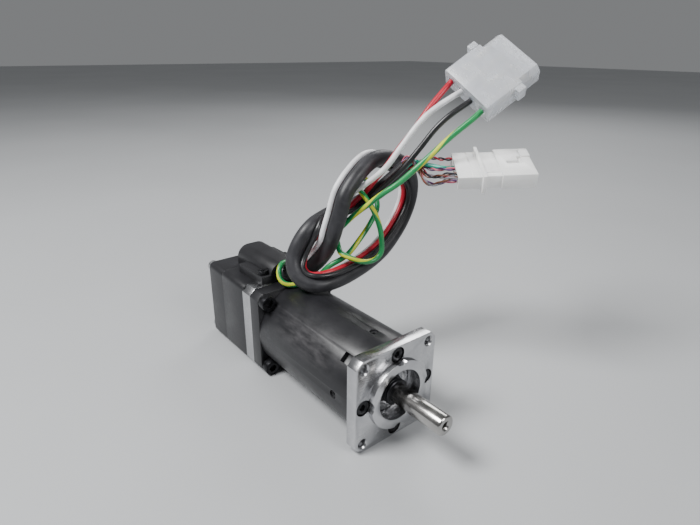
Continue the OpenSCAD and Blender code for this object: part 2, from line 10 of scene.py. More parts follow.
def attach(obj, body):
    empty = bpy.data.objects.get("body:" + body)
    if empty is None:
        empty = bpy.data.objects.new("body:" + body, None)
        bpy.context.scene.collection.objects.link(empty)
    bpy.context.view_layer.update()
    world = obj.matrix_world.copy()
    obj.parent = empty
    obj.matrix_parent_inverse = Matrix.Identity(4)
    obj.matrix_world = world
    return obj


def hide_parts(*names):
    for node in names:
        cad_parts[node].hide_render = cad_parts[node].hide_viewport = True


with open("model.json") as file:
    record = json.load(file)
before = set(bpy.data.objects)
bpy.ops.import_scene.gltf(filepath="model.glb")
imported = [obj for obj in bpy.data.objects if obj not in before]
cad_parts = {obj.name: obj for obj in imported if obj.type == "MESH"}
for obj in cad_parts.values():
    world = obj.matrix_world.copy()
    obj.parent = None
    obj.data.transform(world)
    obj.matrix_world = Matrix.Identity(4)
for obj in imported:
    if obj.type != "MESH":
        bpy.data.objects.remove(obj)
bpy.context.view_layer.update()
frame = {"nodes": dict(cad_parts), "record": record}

MM = 0.001
ROOT = "drive_unit"
# Sizes in millimetres, as part.scad gives them
BODY_R = 20
BOSS_R = 14.25
HOLE_SPACING = 32.5
BARREL_REAR = -67.8
collection = bpy.context.scene.collection


# ---------------------------------------------------------------- camera
def make_camera():
    data = bpy.data.cameras.new("camera")
    data.lens = 26.88
    data.sensor_width = 36
    data.clip_start = 0.01
    camera = bpy.data.objects.new("camera", data)
    right, up, ahead = (0.6279, 0.7782, 0.0095), (-0.3038, 0.2338, 0.9236), (-0.7165, 0.5828, -0.3832)
    place = (0.1164, -0.1179, 0.1213)
    camera.matrix_world = Matrix([
        [right[i], up[i], -ahead[i], place[i]] for i in range(3)
    ] + [[0, 0, 0, 1]])
    collection.objects.link(camera)
    bpy.context.scene.camera = camera


make_camera()


# ---------------------------------------------------------------- material kit
class Look:
    """A node material built from a Principled shader, in object space."""

    def __init__(self, name, color, rough, metallic=0.0, **fixed):
        self.mat = bpy.data.materials.new(name)
        self.mat.use_nodes = True
        self.tree = self.mat.node_tree
        self.shader = self.tree.nodes["Principled BSDF"]
        self.color, self.rough, self.height = tuple(color) + (1,), rough, None
        self.put("Base Color", self.color)
        self.put("Roughness", rough)
        self.put("Metallic", metallic)
        for key, value in fixed.items():
            self.put(key.replace("_", " "), value)
        self.place = self.node("ShaderNodeTexCoord").outputs["Object"]

    def put(self, socket, value):
        target = self.shader.inputs[socket]
        if isinstance(value, bpy.types.NodeSocket):
            self.tree.links.new(value, target)
        else:
            target.default_value = value

    def node(self, kind, **settings):
        made = self.tree.nodes.new(kind)
        for key, value in settings.items():
            setattr(made, key, value)
        return made

    def feed(self, made, **inputs):
        for key, value in inputs.items():
            socket = made.inputs[int(key[1:])] if key[1:].isdigit() else made.inputs[key]
            if isinstance(value, bpy.types.NodeSocket):
                self.tree.links.new(value, socket)
            else:
                socket.default_value = value
        return made

    def math(self, operation, a, b=0.0, clamp=False):
        made = self.node("ShaderNodeMath", operation=operation, use_clamp=clamp)
        return self.feed(made, _0=a, _1=b).outputs[0]

    def scaled(self, scale, place=None):
        made = self.node("ShaderNodeVectorMath", operation="MULTIPLY")
        return self.feed(made, _0=place or self.place, _1=scale).outputs[0]

    def noise(self, scale, detail=3.0, place=None, rough=0.55):
        made = self.node("ShaderNodeTexNoise")
        vector = self.scaled(scale, place) if isinstance(scale, tuple) else (place or self.place)
        self.feed(made, Vector=vector, Detail=detail, Roughness=rough)
        made.inputs["Scale"].default_value = 1.0 if isinstance(scale, tuple) else scale
        return made.outputs["Fac"]

    def span(self, value, low, high, to_low=0.0, to_high=1.0):
        made = self.node("ShaderNodeMapRange")
        made.inputs["From Min"].default_value = low
        made.inputs["From Max"].default_value = high
        made.inputs["To Min"].default_value = to_low
        made.inputs["To Max"].default_value = to_high
        self.tree.links.new(value, made.inputs["Value"])
        return made.outputs["Result"]

    def mix(self, factor, a, b):
        made = self.node("ShaderNodeMix", data_type="RGBA")
        for index, value in ((0, factor), (6, a), (7, b)):
            if isinstance(value, bpy.types.NodeSocket):
                self.tree.links.new(value, made.inputs[index])
            else:
                made.inputs[index].default_value = value if index == 0 else tuple(value)[:3] + (1,)
        return made.outputs[2]

    def bump(self, height, depth, strength=1.0):
        made = self.node("ShaderNodeBump")
        made.inputs["Distance"].default_value = depth
        made.inputs["Strength"].default_value = strength
        self.tree.links.new(height, made.inputs["Height"])
        if self.height is not None:
            self.tree.links.new(self.height, made.inputs["Normal"])
        self.height = made.outputs["Normal"]
        self.put("Normal", self.height)

    def edges(self, radius, low=0.72, high=0.97):
        """1 along sharp edges, 0 on flat faces."""
        bevel = self.node("ShaderNodeBevel", samples=4)
        bevel.inputs["Radius"].default_value = radius
        geometry = self.node("ShaderNodeNewGeometry")
        dot = self.node("ShaderNodeVectorMath", operation="DOT_PRODUCT")
        self.feed(dot, _0=bevel.outputs[0], _1=geometry.outputs["Normal"])
        return self.span(dot.outputs["Value"], high, low)

    def from_axis(self):
        """Distance from the shaft axis, in metres."""
        flat = self.scaled((0.0, 1.0, 1.0))
        made = self.node("ShaderNodeVectorMath", operation="LENGTH")
        self.tree.links.new(flat, made.inputs[0])
        return made.outputs["Value"]

    def part(self, axis):
        made = self.node("ShaderNodeSeparateXYZ")
        self.tree.links.new(self.place, made.inputs[0])
        return made.outputs[axis]


def shade(color, gain):
    return tuple(min(1.0, c * gain) for c in color)


def coated(name, color, rough, wear=0.5, grain=900, scuffs=0.25, scuffed_highlight=False):
    """Semi-gloss black coating with a fine grain, smudges and bare edges."""
    look = Look(name, color, rough, Specular_IOR_Level=0.5)
    smudge = look.noise(55, 5)
    fine = look.noise(grain, 3)
    tone = look.mix(look.span(smudge, 0.35, 0.75), shade(color, 0.8), shade(color, 1.5))
    scratch = look.span(look.noise((90, 900, 900), 4), 0.66, 0.74, 0, scuffs)
    patch = look.math("MULTIPLY", scratch, look.span(look.noise(70, 2), 0.5, 0.62))
    tone = look.mix(patch, tone, (0.16, 0.16, 0.17))
    chips = look.math("MULTIPLY", look.edges(0.00035), look.span(look.noise(420, 4), 0.56, 0.64))
    chips = look.math("MULTIPLY", chips, wear)
    if scuffed_highlight:
        # Light grey streaks in a narrow band along the upper near side, where the highlight line runs:
        # part painted highlight, part rub marks
        facing = look.node("ShaderNodeVectorMath", operation="DOT_PRODUCT")
        look.feed(facing, _0=look.place, _1=(0.0, -0.82, 0.57))
        side = look.span(facing.outputs["Value"], 0.0183, 0.0198)
        length = look.math("MULTIPLY", look.span(look.part("X"), -0.062, -0.044),
                           look.span(look.part("X"), -0.012, -0.026))
        patch = look.math("MULTIPLY", side, length)
        highlight_streaks = look.span(look.noise((130, 520, 520), 6, rough=0.65), 0.36, 0.78)
        highlight_streaks = look.math("MULTIPLY", highlight_streaks, 0.5)
        tone = look.mix(look.math("MULTIPLY", patch, highlight_streaks), tone, (0.13, 0.125, 0.13))
    look.put("Base Color", look.mix(chips, tone, (0.42, 0.42, 0.42)))
    look.put("Metallic", chips)
    rub = look.span(smudge, 0.3, 0.75, rough * 0.8, rough * 1.35)
    look.put("Roughness", look.math("ADD", rub, look.span(fine, 0.3, 0.7, -0.03, 0.05)))
    look.bump(fine, 0.00003, 0.5)
    return look.mat


def plated():
    """Milled aluminium: turned rings near the axis, straight cutter marks further out."""
    color = (0.56, 0.56, 0.57)
    look = Look("plated_aluminium", color, 0.28, 1.0, Anisotropic=0.35)
    radius = look.from_axis()
    line = look.node("ShaderNodeCombineXYZ")
    look.tree.links.new(look.math("MULTIPLY", radius, 9000), line.inputs[0])
    turned = look.noise(1.0, 2, line.outputs[0])
    milled = look.noise((400, 260, 9000), 2)
    inside = look.span(radius, BOSS_R * MM + 0.00035, BOSS_R * MM + 0.00005)
    marks = look.mix(inside, milled, turned)
    blotch = look.noise(130, 4)
    nicks = look.span(look.noise((1500, 2600, 700), 4), 0.71, 0.76)
    edge = look.math("MULTIPLY", look.edges(0.0003), look.span(look.noise(600, 3), 0.42, 0.7))
    tone = look.mix(look.span(blotch, 0.35, 0.7), (0.50, 0.50, 0.515), (0.61, 0.61, 0.62))
    tone = look.mix(look.math("MULTIPLY", nicks, 0.18), tone, (0.42, 0.42, 0.42))
    look.put("Base Color", look.mix(edge, tone, (0.9, 0.9, 0.89)))
    worn = look.span(blotch, 0.3, 0.75, 0.17, 0.27)
    depth = look.math("ADD", marks, 0)
    look.put("Roughness", look.math("ADD", worn, look.span(depth, 0.3, 0.7, -0.04, 0.06)))
    look.bump(depth, 0.000012, 0.5)
    return look.mat


def ground(name, color=(0.74, 0.74, 0.73), rough=0.2, along=True):
    """Ground or turned steel with rings round the X axis."""
    look = Look(name, color, rough, 1.0, Anisotropic=0.4)
    stretch = (16000, 60, 60) if along else (700, 5000, 5000)
    rings = look.noise(stretch, 2)
    cloud = look.noise(160, 4)
    spots = look.span(look.noise(900, 4), 0.68, 0.74)
    tone = look.mix(look.span(cloud, 0.35, 0.7), shade(color, 0.86), shade(color, 1.08))
    look.put("Base Color", look.mix(look.math("MULTIPLY", spots, 0.3), tone, shade(color, 0.45)))
    worn = look.span(cloud, 0.3, 0.75, rough * 0.8, rough * 1.5)
    look.put("Roughness", look.math("ADD", worn, look.span(rings, 0.3, 0.7, -0.03, 0.05)))
    look.bump(rings, 0.000006, 0.4)
    return look.mat


def oxide():
    look = Look("black_oxide", (0.025, 0.025, 0.028), 0.34, 0.75)
    spots = look.noise(700, 4)
    edge = look.math("MULTIPLY", look.edges(0.00025), look.span(spots, 0.45, 0.7))
    tone = look.mix(look.span(spots, 0.35, 0.7), (0.012, 0.012, 0.014), (0.04, 0.04, 0.045))
    look.put("Base Color", look.mix(look.math("MULTIPLY", edge, 0.7), tone, (0.22, 0.22, 0.22)))
    look.put("Roughness", look.span(spots, 0.3, 0.7, 0.26, 0.42))
    look.bump(look.noise(2500, 3), 0.00001, 0.4)
    return look.mat


def moulded(name, color, rough=0.5, grain=1600, depth=0.00003, spread=0.25, **fixed):
    look = Look(name, color, rough, **fixed)
    cloud = look.noise(80, 4)
    fine = look.noise(grain, 3)
    tone = look.mix(look.span(cloud, 0.3, 0.7), shade(color, 1 - spread), shade(color, 1 + spread))
    look.put("Base Color", tone)
    worn = look.span(cloud, 0.3, 0.7, rough * 0.88, rough * 1.12)
    look.put("Roughness", look.math("ADD", worn, look.span(fine, 0.3, 0.7, -0.03, 0.03)))
    look.bump(fine, depth, 0.5)
    return look.mat


def seal_look():
    """Black rubber lip inside a bare steel case."""
    look = Look("seal_face", (0.015, 0.015, 0.016), 0.5)
    case = look.span(look.from_axis(), 0.0062, 0.0065)
    cloud = look.noise(300, 4)
    steel = look.mix(look.span(cloud, 0.3, 0.7), (0.42, 0.42, 0.43), (0.58, 0.58, 0.59))
    look.put("Base Color", look.mix(case, (0.015, 0.015, 0.016), steel))
    look.put("Metallic", case)
    polish = look.math("MULTIPLY", case, -0.26)
    look.put("Roughness", look.math("ADD", polish, look.span(cloud, 0.3, 0.7, 0.46, 0.56)))
    look.bump(look.noise(1800, 3), 0.00002, 0.4)
    return look.mat


def jacket_look():
    """Soft black sheath: faint drag lines along it, a dusty bloom and small scuffs."""
    color = (0.017, 0.017, 0.02)
    look = Look("jacket", color, 0.42, Sheen_Weight=0.08, Sheen_Roughness=0.5)
    uv = look.node("ShaderNodeUVMap").outputs[0]
    along = look.noise((350, 30, 1), 3, uv)
    cloud = look.noise(120, 5)
    dust = look.span(look.noise(260, 5), 0.55, 0.75, 0, 0.35)
    tone = look.mix(look.span(cloud, 0.3, 0.7), shade(color, 0.7), shade(color, 1.6))
    look.put("Base Color", look.mix(dust, tone, (0.07, 0.07, 0.075)))
    drag = look.span(along, 0.3, 0.7, -0.04, 0.05)
    look.put("Roughness", look.math("ADD", look.span(cloud, 0.3, 0.7, 0.36, 0.52), drag))
    look.bump(look.noise(1300, 4), 0.00005, 0.5)
    look.bump(along, 0.00006, 0.35)
    return look.mat


def wire_look(name, color, stripe=None, rough=0.32):
    look = Look(name, color, rough, Coat_Weight=0.1, Coat_Roughness=0.25)
    cloud = look.noise(200, 4)
    tone = look.mix(look.span(cloud, 0.3, 0.7), shade(color, 0.82), shade(color, 1.12))
    if stripe:
        uv = look.node("ShaderNodeSeparateXYZ")
        look.tree.links.new(look.node("ShaderNodeUVMap").outputs[0], uv.inputs[0])
        turn = look.math("MULTIPLY_ADD", uv.outputs[0], 26.0)
        turn.node.inputs[2].default_value = 0.0
        look.tree.links.new(uv.outputs[1], turn.node.inputs[2])
        phase = look.math("FRACT", turn)
        band = look.math("SUBTRACT", look.span(phase, 0.36, 0.40), look.span(phase, 0.58, 0.62))
        tone = look.mix(band, tone, stripe)
    look.put("Base Color", tone)
    look.put("Roughness", look.span(cloud, 0.3, 0.7, rough * 0.85, rough * 1.25))
    look.bump(look.noise(1500, 3), 0.00002, 0.4)
    return look.mat


def nylon():
    """Natural nylon: milky, half clear, with faint flow marks."""
    look = Look("natural_nylon", (0.8, 0.83, 0.88), 0.26, IOR=1.5, Transmission_Weight=0.5,
                Subsurface_Weight=0.12, Subsurface_Scale=0.003, Subsurface_Radius=(1.0, 1.0, 1.0))
    flow = look.noise((90, 260, 90), 4)
    look.put("Base Color", look.mix(look.span(flow, 0.3, 0.7), (0.76, 0.79, 0.85), (0.9, 0.92, 0.95)))
    look.put("Roughness", look.span(flow, 0.3, 0.7, 0.2, 0.32))
    look.bump(look.noise(1100, 3), 0.00002, 0.4)
    return look.mat


def white_look():
    look = Look("white_plastic", (0.86, 0.86, 0.84), 0.4, Subsurface_Weight=0.15,
                Subsurface_Scale=0.0015, Subsurface_Radius=(1.0, 0.9, 0.8))
    cloud = look.noise(110, 4)
    grime = look.math("MULTIPLY", look.span(look.noise(300, 5), 0.58, 0.75), 0.3)
    tone = look.mix(look.span(cloud, 0.3, 0.7), (0.82, 0.82, 0.81), (0.9, 0.9, 0.89))
    look.put("Base Color", look.mix(grime, tone, (0.66, 0.65, 0.62)))
    look.put("Roughness", look.span(cloud, 0.3, 0.7, 0.34, 0.48))
    look.bump(look.noise(1400, 3), 0.00002, 0.4)
    return look.mat


LOOKS = {
    "plated_steel": plated(),
    "black_paint": coated("black_coating", (0.014, 0.014, 0.016), 0.36),
    "black_screws": oxide(),
    "seal_rubber": moulded("seal_rubber", (0.012, 0.012, 0.013), 0.55, 1200, 0.00004),
    "bearing_steel": ground("bearing_steel", (0.7, 0.7, 0.7), 0.16),
    "plug_plastic": moulded("plug_plastic", (0.02, 0.02, 0.022), 0.5),
    "gear_steel": ground("gear_steel", (0.42, 0.42, 0.43), 0.34, along=False),
    "zinc_screws": ground("zinc", (0.68, 0.69, 0.7), 0.3, along=False),
    "lamination_steel": ground("lamination", (0.33, 0.34, 0.36), 0.42),
    "winding_copper": ground("winding_copper", (0.62, 0.26, 0.1), 0.3),
    "circuit_board": moulded("circuit_board", (0.03, 0.16, 0.06), 0.4),
    "outlet_plastic": moulded("outlet_plastic", (0.015, 0.015, 0.017), 0.42, 2000, 0.00004),
    "contact_brass": ground("contact_brass", (0.78, 0.62, 0.32), 0.28),
    "clear_nylon": nylon(),
    "white_plastic": white_look(),
    "ground_steel": ground("ground_steel", (0.43, 0.42, 0.405), 0.15),
    "magnet": ground("magnet", (0.3, 0.3, 0.31), 0.36, along=False),
    "machined_aluminium": ground("machined_aluminium", (0.75, 0.75, 0.75), 0.3),
    "disc_glass": moulded("disc_glass", (0.8, 0.88, 0.9), 0.08, spread=0.05, Transmission_Weight=0.8),
    "jacket_black": jacket_look(),
    "insulation_red": wire_look("insulation_red", (0.5, 0.008, 0.03)),
    "insulation_white": wire_look("insulation_white", (0.82, 0.82, 0.84)),
    "insulation_black": wire_look("insulation_black", (0.015, 0.015, 0.017)),
    "insulation_green": wire_look("insulation_green", (0.012, 0.27, 0.075), (0.6, 0.66, 0.03)),
    "signal_wires": wire_look("signal_wires", (0.02, 0.36, 0.3)),
}
slot_of = {entry["node"]: entry["material_slot"] for entry in frame["record"]["subparts"]}
for node_name, node in frame["nodes"].items():
    for place in node.material_slots:
        place.material = LOOKS[slot_of[node_name]]
    if not node.material_slots:
        node.data.materials.append(LOOKS[slot_of[node_name]])


# ---------------------------------------------------------------- shape kit
def settle(obj, slot_name, *nodes, body=ROOT, look=None):
    """Put a finished piece on its body, with its finish and the CAD nodes that it stands for."""
    collection.objects.link(obj)
    obj.data.materials.clear()
    obj.data.materials.append(look or LOOKS[slot_name])
    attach(obj, body)
    if nodes:
        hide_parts(*nodes)
    return obj


def smooth(mesh, angle=35):
    mesh.polygons.foreach_set("use_smooth", [True] * len(mesh.polygons))
    mesh.set_sharp_from_angle(angle=math.radians(angle))


def spline(points, steps):
    """The same smooth curve through points that part.scad draws."""
    p = np.array(points, float)
    last = len(p) - 1
    out = []
    for i in range(last):
        a, b, c, d = p[max(i - 1, 0)], p[i], p[i + 1], p[min(i + 2, last)]
        for k in range(steps):
            t = k / steps
            out.append(0.5 * (2 * b + (c - a) * t + (2 * a - 5 * b + 4 * c - d) * t ** 2
                              + (3 * b - a - 3 * c + d) * t ** 3))
    return np.array(out + [p[last]])


def tangents(p):
    t = np.empty_like(p)
    t[1:-1] = p[2:] - p[:-2]
    t[0], t[-1] = p[1] - p[0], p[-1] - p[-2]
    return t / np.linalg.norm(t, axis=1)[:, None]


def transport(t, side):
    """Side directions carried along a path without twist."""
    out = []
    for way in t:
        side = side - way * (side @ way)
        side = side / np.linalg.norm(side)
        out.append(side)
    return np.array(out)


def tube(name, path, radius, sides=20, wobble=0.0):
    """A tube along path, in millimetres, with its length and its turn as UV."""
    t = tangents(path)
    u = transport(t, np.array([0.2, 0.3, 0.93]))
    w = np.cross(t, u)
    run = np.concatenate([[0], np.cumsum(np.linalg.norm(np.diff(path, axis=0), axis=1))])
    bm = bmesh.new()
    layer = bm.loops.layers.uv.new("UVMap")
    rings = []
    for i, centre in enumerate(path):
        r = radius * (1 + wobble * math.sin(0.31 * run[i]) * math.sin(0.13 * run[i] + 1))
        rings.append([
            bm.verts.new(MM * (centre + r * (math.cos(a) * u[i] + math.sin(a) * w[i])))
            for a in (2 * math.pi * k / sides for k in range(sides))
        ])
    for i in range(len(path) - 1):
        for k in range(sides):
            n = (k + 1) % sides
            face = bm.faces.new((rings[i][k], rings[i][n], rings[i + 1][n], rings[i + 1][k]))
            for loop, (row, col) in zip(face.loops, ((i, k), (i, k + 1), (i + 1, k + 1), (i + 1, k))):
                loop[layer].uv = (run[row] * MM, col / sides)
    bm.faces.new(rings[0][::-1])
    bm.faces.new(rings[-1])
    bm.normal_update()
    mesh = bpy.data.meshes.new(name)
    bm.to_mesh(mesh)
    bm.free()
    smooth(mesh, 50)
    return bpy.data.objects.new(name, mesh)


def lathe(name, profile, segments=96):
    """A closed ring round the X axis from (x, r) points, in millimetres."""
    bm = bmesh.new()
    rings = []
    for k in range(segments):
        a = 2 * math.pi * k / segments
        rings.append([
            bm.verts.new((x * MM, r * MM * math.cos(a), r * MM * math.sin(a))) for x, r in profile])
    for k in range(segments):
        one, two = rings[k], rings[(k + 1) % segments]
        for i in range(len(profile)):
            n = (i + 1) % len(profile)
            bm.faces.new((one[i], two[i], two[n], one[n]))
    bmesh.ops.recalc_face_normals(bm, faces=bm.faces)
    mesh = bpy.data.meshes.new(name)
    bm.to_mesh(mesh)
    bm.free()
    smooth(mesh)
    return bpy.data.objects.new(name, mesh)


def box(x0, x1, y0, y1, z0, z1):
    bm = bmesh.new()
    bmesh.ops.create_cube(bm, size=1)
    for v in bm.verts:
        v.co = Vector((x0 + (v.co.x + 0.5) * (x1 - x0), y0 + (v.co.y + 0.5) * (y1 - y0),
                       z0 + (v.co.z + 0.5) * (z1 - z0)))
    return bm


def prism(outline, y0, y1):
    """An outline in X and Z, drawn out along Y."""
    bm = bmesh.new()
    near = [bm.verts.new((x, y0, z)) for x, z in outline]
    far = [bm.verts.new((x, y1, z)) for x, z in outline]
    bm.faces.new(near)
    bm.faces.new(far[::-1])
    for i in range(len(outline)):
        n = (i + 1) % len(outline)
        bm.faces.new((near[n], near[i], far[i], far[n]))
    bmesh.ops.recalc_face_normals(bm, faces=bm.faces)
    return bm


def rod(x, y0, y1, z, r, r2=None, segments=40):
    """A round bar along Y."""
    bm = bmesh.new()
    bmesh.ops.create_cone(bm, cap_ends=True, segments=segments, radius1=r, radius2=r if r2 is None else r2,
                          depth=y1 - y0)
    turn = Matrix.Rotation(math.radians(-90), 4, "X")
    bmesh.ops.transform(bm, matrix=Matrix.Translation((x, (y0 + y1) / 2, z)) @ turn, verts=bm.verts)
    return bm


def as_object(bm, name="part"):
    mesh = bpy.data.meshes.new(name)
    bm.to_mesh(mesh)
    bm.free()
    return bpy.data.objects.new(name, mesh)


def baked(obj):
    """The object's mesh with its modifiers applied."""
    bpy.context.view_layer.update()
    return bpy.data.meshes.new_from_object(obj.evaluated_get(bpy.context.evaluated_depsgraph_get()))


def combined(base, adds=(), cuts=()):
    """The mesh of a base object with shapes joined to it and cut from it. The base is used up."""
    collection.objects.link(base)
    tools = []
    for shape, operation in [(a, "UNION") for a in adds] + [(c, "DIFFERENCE") for c in cuts]:
        tool = as_object(shape)
        collection.objects.link(tool)
        tools.append(tool)
        step = base.modifiers.new("cut", "BOOLEAN")
        step.operation, step.object, step.solver = operation, tool, "EXACT"
    mesh = baked(base)
    for obj in [base] + tools:
        bpy.data.objects.remove(obj)
    return mesh


def carve(name, adds, cuts, place, bevel=0.25, segments=2):
    """Join and cut simple shapes, in millimetres, round off the edges and put them at place."""
    mesh = combined(as_object(adds[0], name), adds[1:], cuts)
    return rounded(name, mesh, bevel, segments, place @ Matrix.Scale(MM, 4))


def rounded(name, mesh, bevel, segments=2, place=None, angle=30):
    """A copy of mesh with clean faces and rounded edges."""
    bm = bmesh.new()
    bm.from_mesh(mesh)
    scale = 1 if place else MM
    bmesh.ops.remove_doubles(bm, verts=bm.verts, dist=0.001 * scale)
    bmesh.ops.dissolve_limit(bm, angle_limit=math.radians(1.5), verts=bm.verts, edges=bm.edges)
    clean = bpy.data.meshes.new(name)
    bm.to_mesh(clean)
    bm.free()
    obj = bpy.data.objects.new(name, clean)
    collection.objects.link(obj)
    step = obj.modifiers.new("round", "BEVEL")
    step.width = bevel * scale
    step.segments = segments
    step.limit_method = "ANGLE"
    step.angle_limit = math.radians(angle)
    step.use_clamp_overlap = True
    done = baked(obj)
    bpy.data.objects.remove(obj)
    if place:
        done.transform(place)
    smooth(done, 40)
    done.name = name
    return bpy.data.objects.new(name, done)


def mouths():
    """Countersunk mouths for the four mounting holes in the flange's front face."""
    out = []
    half = HOLE_SPACING / 2
    for y in (-half, half):
        for z in (-half, half):
            bm = bmesh.new()
            bmesh.ops.create_cone(bm, cap_ends=True, segments=48, radius1=1.62, radius2=2.5, depth=0.9)
            turn = Matrix.Rotation(math.radians(90), 4, "Y")
            bmesh.ops.transform(bm, matrix=Matrix.Translation((-0.25, y, z)) @ turn, verts=bm.verts)
            bmesh.ops.scale(bm, vec=(MM, MM, MM), verts=bm.verts)
            out.append(bm)
    return out


def dressed(node_name, bevel, body=ROOT, segments=2, look=None, cuts=()):
    """A CAD node's own shape with rounded edges, in its place."""
    node = frame["nodes"][node_name]
    mesh = node.data.copy()
    mesh.transform(node.matrix_world)
    if cuts:
        mesh = combined(bpy.data.objects.new("base", mesh), cuts=cuts)
    piece = rounded(node_name + "_body", mesh, bevel, segments)
    return settle(piece, slot_of[node_name], node_name, body=body, look=look)


# ---------------------------------------------------------------- cords, on the routes in part.scad
JACKET_R, CORE_R = 3.5, 1.2
JACKET = [
    (-75.5, -2, 24), (-70.5, 1.5, 24.6), (-65.5, 8.5, 28.5), (-60, 11.5, 36), (-56, 12, 45),
    (-53.5, 14, 54), (-53, 17, 63), (-53.5, 24, 70), (-54.5, 33, 75), (-55.5, 43, 75),
    (-57, 55, 70), (-58.5, 62, 60), (-58.5, 60.5, 49), (-57, 52.5, 39), (-55, 40, 30.5),
    (-53.5, 25.5, 26), (-53, 12, 24), (-54.5, 2, 23.7), (-59, -2.5, 24.7), (-63.5, -4, 28.5),
    (-65.5, -2, 34.5), (-65, 1, 41), (-64, 6.5, 47), (-66, 17, 50), (-63, 26, 53),
    (-58, 30.5, 56.5), (-51, 35, 62.5), (-43, 42.5, 73),
]
EARTH = [
    (-75.5, 1.5, 27), (-74, -1.5, 29.3), (-72, -5.5, 29), (-70.5, -7, 26), (-69, -7, 23),
    (-66.5, -4, 21.4), (-63, 2, 21.8), (-60, 8, 25), (-56.5, 12, 30), (-54, 18.5, 34),
    (-54, 26, 40), (-55, 33.5, 46.5), (-58, 40, 52), (-63, 42, 58), (-64, 36, 66),
    (-63, 29, 70.5), (-61, 24, 70.5), (-62, 26, 66), (-58, 28, 62.5), (-50, 25.5, 61),
    (-47, 28, 55), (-46, 31, 47), (-46, 32.5, 39), (-46, 32, 34), (-47, 27.5, 31.5),
    (-48, 21.5, 32.5), (-50, 16, 35.5), (-54, 15, 36.5), (-58.5, 17, 39), (-60.5, 18, 43),
    (-57, 20, 48), (-52, 22, 53.5), (-46, 24.5, 59), (-40.5, 26.5, 64), (-35.5, 31, 69),
    (-31, 35.5, 75), (-28, 41, 80.5), (-25, 49, 87.5), (-21, 56, 94), (-19.5, 60, 97.5),
]
CORES = {
    "red": ((-75.5, 3.2, 24.2), 0, [
        (-58, 26, 57), (-52, 29, 64.5), (-46, 32.5, 73), (-41.5, 36.5, 82), (-38.5, 42, 90),
        (-37, 49, 98.5), (-35.5, 59, 108)]),
    "white": ((-75.5, 5.6, 22.6), 34, [
        (-57.5, 24, 59.5), (-50.5, 26, 66), (-42, 29.5, 74.5), (-39, 34, 82), (-36.5, 42.5, 92.5),
        (-33.5, 49, 98.5), (-30, 59.5, 104.5)]),
    "black": ((-75.5, 3, 21.6), -34, [
        (-56.5, 27, 55), (-49, 29.5, 61), (-43, 32.5, 68), (-38, 36, 74.5), (-34.5, 41.5, 82.5),
        (-31.5, 46.5, 90), (-28.5, 51.5, 95.5), (-25, 59.5, 101)]),
}
COIL_CENTRE = np.array([-57.0, 29, 49])
CORE_GAP = JACKET_R + CORE_R + 0.15


def ease(x):
    """A smooth step from 0 to 1."""
    c = min(max(x, 0), 1)
    return c * c * (3 - 2 * c)


def core_turn(i):
    """How far the cores have turned round the jacket at its route's point i, in degrees."""
    return 92 * ease(i / 4) * (1 - ease((i - 7) / 5))


def core_route(exit_point, angle, tail):
    """A core's route: out of the outlet, beside the jacket round its coil, then to its seat."""
    p = spline(JACKET, 2)
    t = tangents(p)
    beside = []
    for i in range(2, 47):
        inward = COIL_CENTRE - p[i]
        inward = inward - t[i] * (inward @ t[i])
        inward /= np.linalg.norm(inward)
        a = math.radians(angle + core_turn(i / 2))
        beside.append(p[i] + CORE_GAP * (math.cos(a) * inward + math.sin(a) * np.cross(t[i], inward)))
    return np.vstack([[exit_point], beside, tail])


def evenly(path, step):
    """The same path with points about one step apart."""
    run = np.concatenate([[0], np.cumsum(np.linalg.norm(np.diff(path, axis=0), axis=1))])
    at = np.linspace(0, run[-1], int(run[-1] / step) + 1)
    return np.stack([np.interp(at, run, path[:, k]) for k in range(3)], axis=1)


def pushed_apart(paths, radii, rounds=110):
    """Ease strands out of each other and off the body under them, keeping their ends.

    The body is a flat-topped block behind BARREL_REAR and a round barrel in front of it.
    """
    names = list(paths)
    start = {n: paths[n].copy() for n in names}
    for _ in range(rounds):
        shift = {n: np.zeros_like(paths[n]) for n in names}
        for i, a in enumerate(names):
            for b in names[i:]:
                gap = paths[a][:, None] - paths[b][None]
                far = np.linalg.norm(gap, axis=2) + 1e-9
                over = np.clip(radii[a] + radii[b] + 0.05 - far, 0, None)
                if a == b:
                    apart = np.abs(np.arange(len(far))[:, None] - np.arange(len(far))[None])
                    over[apart < 5 * radii[a]] = 0
                if not over.any():
                    continue
                way = gap / far[..., None]
                share = radii[b] ** 2 / (radii[a] ** 2 + radii[b] ** 2)
                for n, index, sign, part in ((a, 1, 1, share), (b, 0, -1, 1 - share)):
                    weight = over.max(axis=index)
                    pick = over.argmax(axis=index)
                    lines = np.arange(len(weight))
                    direction = way[lines, pick] if index == 1 else way[pick, lines]
                    shift[n] += sign * part * 0.5 * weight[:, None] * direction
        for n in names:
            p = paths[n] + shift[n]
            clear = BODY_R + 0.05 + radii[n]
            p[:, 2] = np.maximum(p[:, 2], np.where(p[:, 0] < BARREL_REAR, clear, -1e9))
            around = np.hypot(p[:, 1], p[:, 2])
            need = np.where(p[:, 0] >= BARREL_REAR, clear, 0)
            grow = np.maximum(need / np.maximum(around, 1e-6), 1)
            p[:, 1:] *= grow[:, None]
            moved = p - start[n]
            moved[1:-1] += 0.3 * (0.5 * (moved[2:] + moved[:-2]) - moved[1:-1])
            index = np.arange(len(p))
            hold = np.clip(np.minimum(index, index[::-1]) / 5, 0, 1)
            paths[n] = start[n] + moved * hold[:, None]
    return paths


